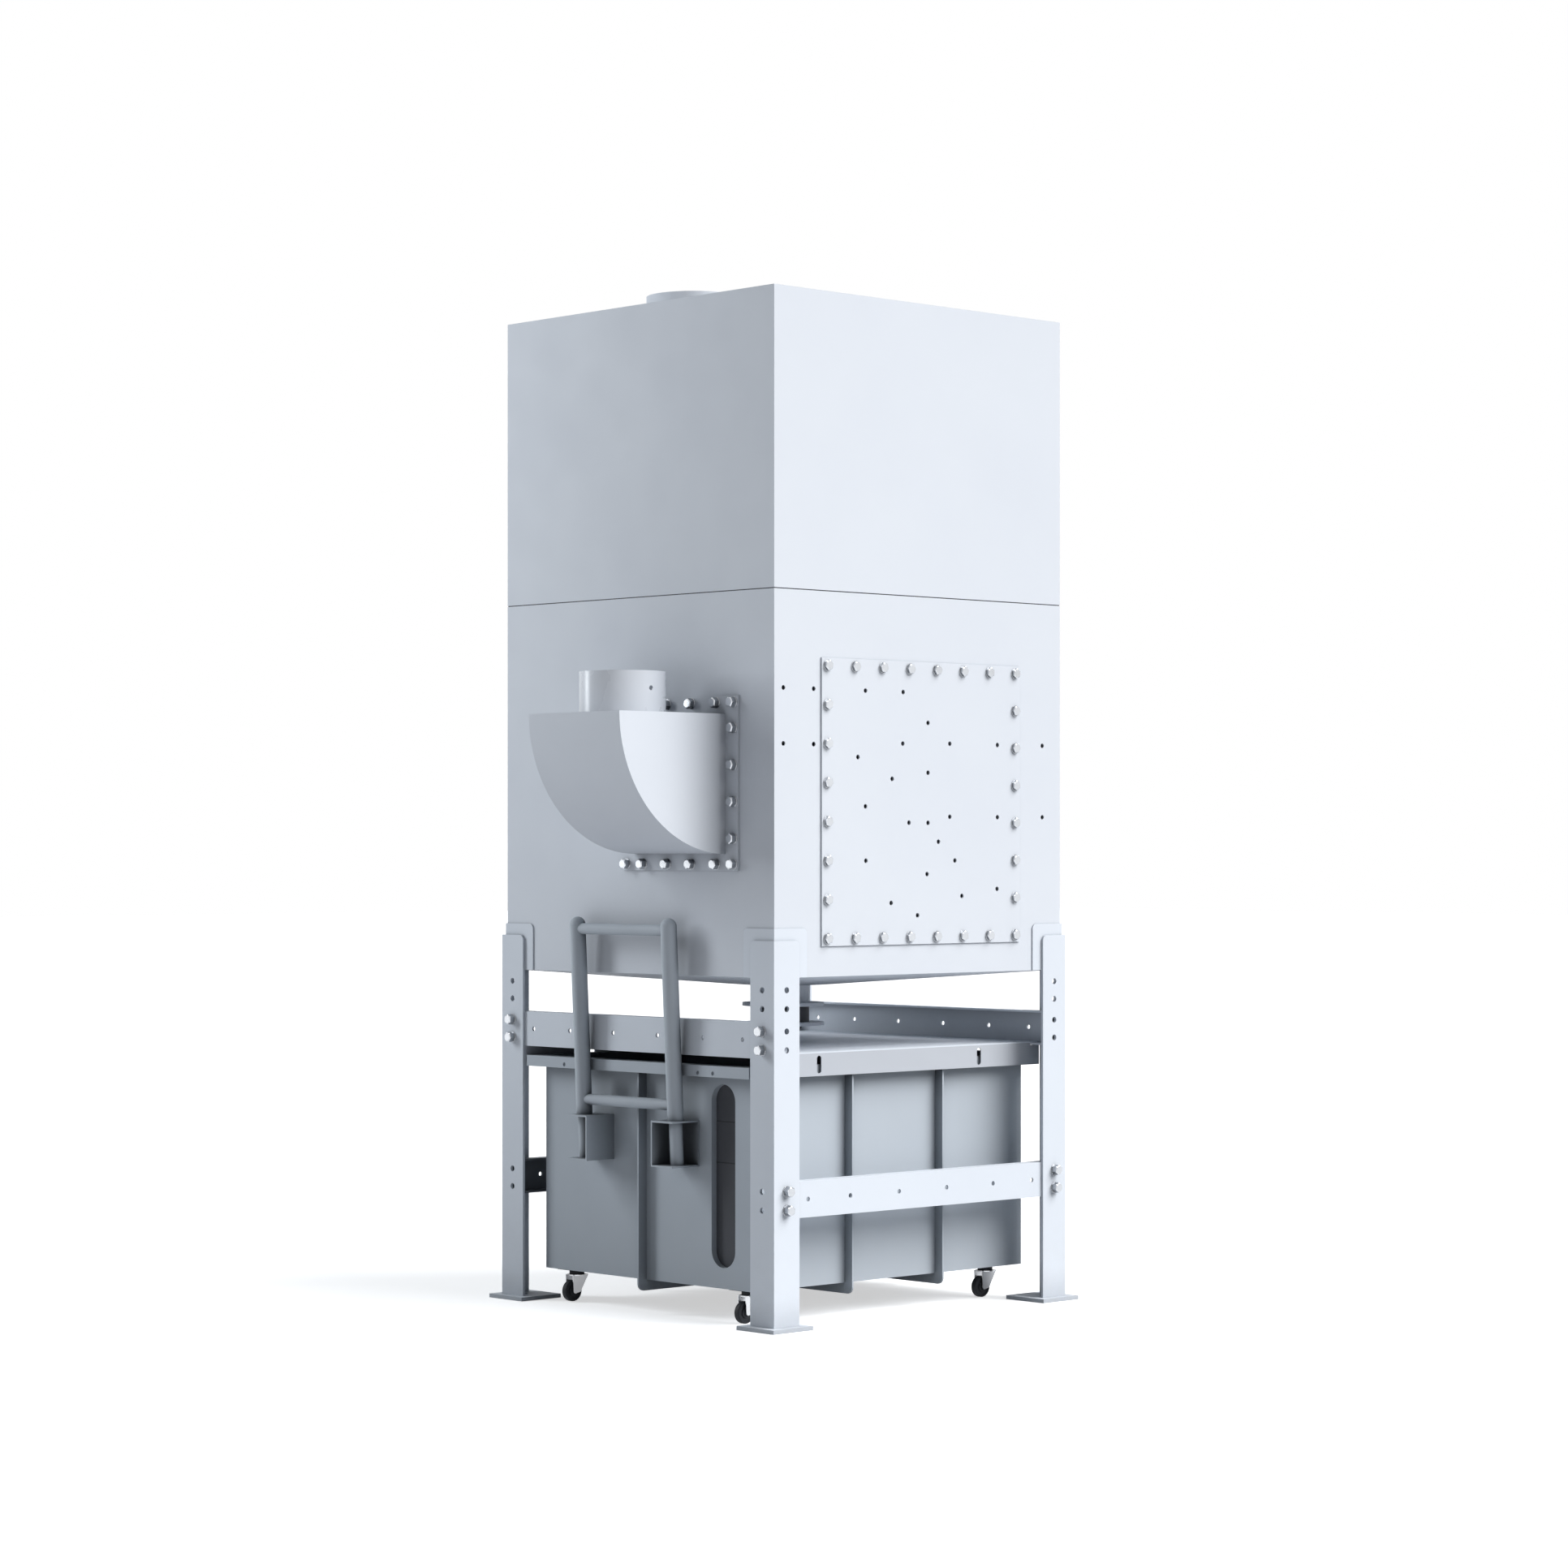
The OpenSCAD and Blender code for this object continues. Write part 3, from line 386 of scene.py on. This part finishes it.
def make_dust_group():
    """Settled dust: a mask that is strong on faces that look up and near the floor, broken up by noise."""
    group, inputs, outputs = new_group(
        "settled_dust", [("Amount", "NodeSocketFloat")], [("Mask", "NodeSocketFloat")])
    nodes, links = group.nodes, group.links
    place = object_place(nodes)
    facing = z_part(nodes, links, nodes.new("ShaderNodeNewGeometry").outputs["Normal"])
    upward = map_range(nodes, links, facing, DUST_FACING, (0.0, 1.0))
    low_down = map_range(nodes, links, z_part(nodes, links, place), DUST_HEIGHT, DUST_LOW_SHARE)
    either = math_node(nodes, links, "MAXIMUM", upward, low_down)
    specks = noise(nodes, links, place, DUST_SCALE, DUST_DETAIL)
    speckle = map_range(nodes, links, specks, DUST_RANGE, (0.0, 1.0))
    broken = math_node(nodes, links, "MULTIPLY", either, speckle)
    mask = math_node(nodes, links, "MULTIPLY", broken, inputs.outputs["Amount"])
    links.new(mask, outputs.inputs["Mask"])
    return group


def make_corner_shade_group():
    """Painted shade in corners: a mask that grows where nearby surfaces close off more of the view from a
    point.
    """
    group, inputs, outputs = new_group(
        "painted_corner_shade",
        [("Reach", "NodeSocketFloat"), ("Amount", "NodeSocketFloat")],
        [("Mask", "NodeSocketFloat")])
    nodes, links = group.nodes, group.links
    openness = nodes.new("ShaderNodeAmbientOcclusion")
    openness.samples = SHADE_SAMPLES
    links.new(inputs.outputs["Reach"], openness.inputs["Distance"])
    closed = map_range(nodes, links, openness.outputs["AO"], SHADE_RANGE, (1.0, 0.0))
    mask = math_node(nodes, links, "MULTIPLY", closed, inputs.outputs["Amount"])
    links.new(mask, outputs.inputs["Mask"])
    return group


# Materials

def shaded_material(name):
    """Material with an empty node tree, its Principled shader joined to the output."""
    material = bpy.data.materials.new(name)
    material.use_nodes = True
    nodes, links = material.node_tree.nodes, material.node_tree.links
    nodes.clear()
    shader = nodes.new("ShaderNodeBsdfPrincipled")
    links.new(shader.outputs["BSDF"], nodes.new("ShaderNodeOutputMaterial").inputs["Surface"])
    return material, nodes, links, shader


def coated(name, base, tone, metallic=0.0, rough=0.57, bump=0.05, dust=0.2, shade_amount=0.55, reach=0.25,
           specular=0.2):
    """Painted, rubber or bare metal surface: sprayed coat under a little dust, with painted shade darkening
    its corners.
    """
    material, nodes, links, shader = shaded_material(name)
    coat = group_node(nodes, COAT, Base=base, Tone=tone, Bump=bump, Rough=rough)
    film = group_node(nodes, DUST, Amount=dust)
    shade_node = group_node(nodes, CORNER_SHADE_GROUP, Reach=reach, Amount=shade_amount)
    dusted = mix_colour(nodes, links, film.outputs["Mask"], coat.outputs["Color"], DUST_COLOUR)
    # Painted shade: the colour is pulled towards near-black where nearby surfaces close off the view
    with_shade = mix_colour(nodes, links, shade_node.outputs["Mask"], dusted, SHADE_COLOUR)
    links.new(with_shade, shader.inputs["Base Color"])
    links.new(coat.outputs["Roughness"], shader.inputs["Roughness"])
    links.new(coat.outputs["Normal"], shader.inputs["Normal"])
    shader.inputs["Metallic"].default_value = metallic
    shader.inputs["Specular IOR Level"].default_value = specular
    return material


def level_lines(nodes, links):
    """Mask of thin level lines: one where the height is within half a line of one of the levels."""
    height = z_part(nodes, links, object_place(nodes))
    lines = [math_node(nodes, links, "COMPARE", height, level, WINDOW_LINE / 2) for level in WINDOW_LEVELS]
    return math_node(nodes, links, "MAXIMUM", *lines)


def sight_glass():
    """Window pane painted dark as the shade of the tank's inside seen through it, with two faint level lines
    across it.
    """
    material = coated("window_glass", PANE_SHADE_BASE, PANE_SHADE_TONE, bump=0.0, dust=0.05, shade_amount=0.3)
    nodes, links = material.node_tree.nodes, material.node_tree.links
    colour = nodes["Principled BSDF"].inputs["Base Color"]
    pane = colour.links[0].from_socket
    links.new(mix_colour(nodes, links, level_lines(nodes, links), pane, LINE_COLOUR), colour)
    return material


COAT = make_coat_group()
DUST = make_dust_group()
CORNER_SHADE_GROUP = make_corner_shade_group()

materials = {
    "casing_paint": coated("casing_paint", PAINT_BASE, PAINT_TONE, shade_amount=0.45),
    "frame_paint": coated("frame_paint", FRAME_BASE, FRAME_TONE, shade_amount=0.5, reach=0.12),
    "tank_paint": coated("tank_paint", TANK_BASE, TANK_TONE, shade_amount=0.5, reach=0.08),
    "caster_steel": coated("caster_steel", STEEL_BASE, STEEL_TONE, metallic=1.0, rough=0.3, bump=0.02,
                           shade_amount=0.1),
    "caster_head": coated("caster_head", HEAD_BASE, HEAD_TONE, dust=0.03),
    "caster_rubber": coated("caster_rubber", TYRE_BASE, TYRE_TONE, bump=0.1, dust=0.02),
    "window_glass": sight_glass(),
    "gasket_rubber": coated("gasket_rubber", GASKET_BASE, GASKET_TONE, bump=0.1, dust=0.1),
}
# Bolt sides are painted dark by a strong, short-reach corner mask: painted shade
bolt_zinc = coated("bolt_zinc", ZINC_BASE, ZINC_TONE, metallic=1.0, rough=0.3, bump=0.0, dust=0.0, shade_amount=0.8,
                   reach=0.04)
clean_paint = coated("drain_paint", FRAME_BASE, FRAME_TONE, shade_amount=0.0)
# Tank paint with a strong corner mask: painted shade inside the handle brackets and beside the ribs
shaded_nook_paint = coated("handle_shaded_paint", TANK_BASE, TANK_TONE, shade_amount=0.95, reach=0.12)

# Nodes that look other than the rest of their slot: glossier, without painted corner shade, painted darker as
# shade, or with more painted corner shade
own_coats = {
    "inlet_collar": coated("collar_paint", PAINT_BASE, PAINT_TONE, rough=0.28, bump=0.01, shade_amount=0.2,
                           specular=0.6),
    "hood_top": coated("hood_top_paint", FRAME_BASE, FRAME_TONE, shade_amount=0.0),
    # Hood skirts get the darker copy of the frame paint: painted shade
    "hood_skirts": coated("hood_skirt_shaded_paint", SKIRT_SHADED_BASE, SKIRT_SHADED_TONE, shade_amount=0.3, reach=0.08),
    # Far lower beam: painted shade behind the tank, from a wide strong corner mask
    "lower_beam_far": coated("far_beam_shaded_paint", FRAME_BASE, FRAME_TONE, shade_amount=0.9, reach=0.3),
    "drain_outlet": clean_paint,
    "drain_stub": clean_paint,
    "tank_ribs": shaded_nook_paint,
    "push_handle": shaded_nook_paint,
    "handle_brackets": shaded_nook_paint,
}

for entry in frame["record"]["subparts"]:
    node = frame["nodes"][entry["node"]]
    node.data.materials.clear()
    node.data.materials.append(own_coats.get(entry["node"], materials[entry["material_slot"]]))

for name, places, grip, head_h in (
    ("leg_bolts", leg_bolt_places(), LEG_GRIP, LEG_HEAD_H),
    ("cover_screws", cover_screw_places(), SCREW_GRIP, SCREW_HEAD_H),
    ("flange_bolts", flange_bolt_places(), FLANGE_GRIP, FLANGE_HEAD_H),
):
    bolts = bolt_mesh(name, places, grip, head_h)
    bolts.data.materials.append(bolt_zinc)
    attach(bolts, "collector")


# Floor, light and camera

def seen_directly(nodes, links):
    """One for what the camera sees itself, in gloss or through glass, and zero for bounced light."""
    path = nodes.new("ShaderNodeLightPath")
    seen = path.outputs["Is Camera Ray"]
    for other in ("Is Glossy Ray", "Is Transmission Ray"):
        seen = math_node(nodes, links, "MAXIMUM", seen, path.outputs[other])
    return seen


def floor_material():
    """Pale floor: greyer for bounced light, brighter where it is seen to meet the white background."""
    material, nodes, links, shader = shaded_material("floor")
    shader.inputs["Roughness"].default_value = FLOOR_ROUGH
    shader.inputs["Specular IOR Level"].default_value = 0.0
    shader.inputs["Emission Color"].default_value = WHITE
    seen = seen_directly(nodes, links)
    links.new(mix_colour(nodes, links, seen, FLOOR_BOUNCE, FLOOR_SEEN), shader.inputs["Base Color"])
    links.new(math_node(nodes, links, "MULTIPLY", seen, FLOOR_LIFT), shader.inputs["Emission Strength"])
    return material


def make_floor():
    """Wide square just below the feet."""
    half = FLOOR_HALF
    mesh = bpy.data.meshes.new("floor")
    mesh.from_pydata([(-half, -half, 0.0), (half, -half, 0.0), (half, half, 0.0), (-half, half, 0.0)],
                     [], [(0, 1, 2, 3)])
    mesh.materials.append(floor_material())
    floor = bpy.data.objects.new("floor", mesh)
    floor.location.z = -FLOOR_DROP
    scene.collection.objects.link(floor)


def background(nodes, colour, strength):
    """Background shader of one colour."""
    node = nodes.new("ShaderNodeBackground")
    node.inputs["Color"].default_value = colour
    node.inputs["Strength"].default_value = strength
    return node.outputs["Background"]


def make_world():
    """White where it is seen, and softer bluish light for everything else."""
    world = bpy.data.worlds.new("studio")
    scene.world = world
    world.use_nodes = True
    nodes, links = world.node_tree.nodes, world.node_tree.links
    nodes.clear()
    either = nodes.new("ShaderNodeMixShader")
    links.new(seen_directly(nodes, links), either.inputs["Fac"])
    links.new(background(nodes, AMBIENT_COLOUR, AMBIENT), either.inputs[1])
    links.new(background(nodes, WHITE, 1.0), either.inputs[2])
    links.new(either.outputs["Shader"], nodes.new("ShaderNodeOutputWorld").inputs["Surface"])


def add_lamp(name, kind, energy, colour, direction):
    """Lamp that shines from a direction."""
    light = bpy.data.lights.new(name, kind)
    light.energy = energy
    light.color = colour
    lamp = bpy.data.objects.new(name, light)
    lamp.rotation_mode = "QUATERNION"
    lamp.rotation_quaternion = direction.to_track_quat("Z", "Y")
    scene.collection.objects.link(lamp)
    return lamp


def add_key():
    """Soft sun from above the access face."""
    lamp = add_lamp("key", "SUN", KEY_STRENGTH, KEY_COLOUR, Vector(KEY_FROM))
    lamp.data.angle = math.radians(KEY_SOFTNESS_DEG)


def add_left_panel():
    """Tall panel beyond the far side, turned to the inlet face."""
    place = Vector(PANEL_PLACE)
    lamp = add_lamp("left", "AREA", PANEL_WATTS, PANEL_COLOUR, place - Vector(PANEL_TARGET))
    lamp.location = place
    lamp.data.shape = "RECTANGLE"
    lamp.data.size = PANEL_W
    lamp.data.size_y = PANEL_H


def make_camera():
    """Level camera at the photo's place; the shift keeps the uprights upright."""
    data = bpy.data.cameras.new("camera")
    data.sensor_width = CAMERA_SENSOR
    data.lens = CAMERA_LENS
    data.shift_y = CAMERA_SHIFT
    data.clip_end = CAMERA_FAR
    camera = bpy.data.objects.new("camera", data)
    camera.location = CAMERA_PLACE
    camera.rotation_mode = "QUATERNION"
    camera.rotation_quaternion = Vector(CAMERA_AIM).to_track_quat("-Z", "Y")
    scene.collection.objects.link(camera)
    scene.camera = camera


make_floor()
make_world()
add_key()
add_left_panel()
make_camera()

scene.view_settings.view_transform = "Standard"
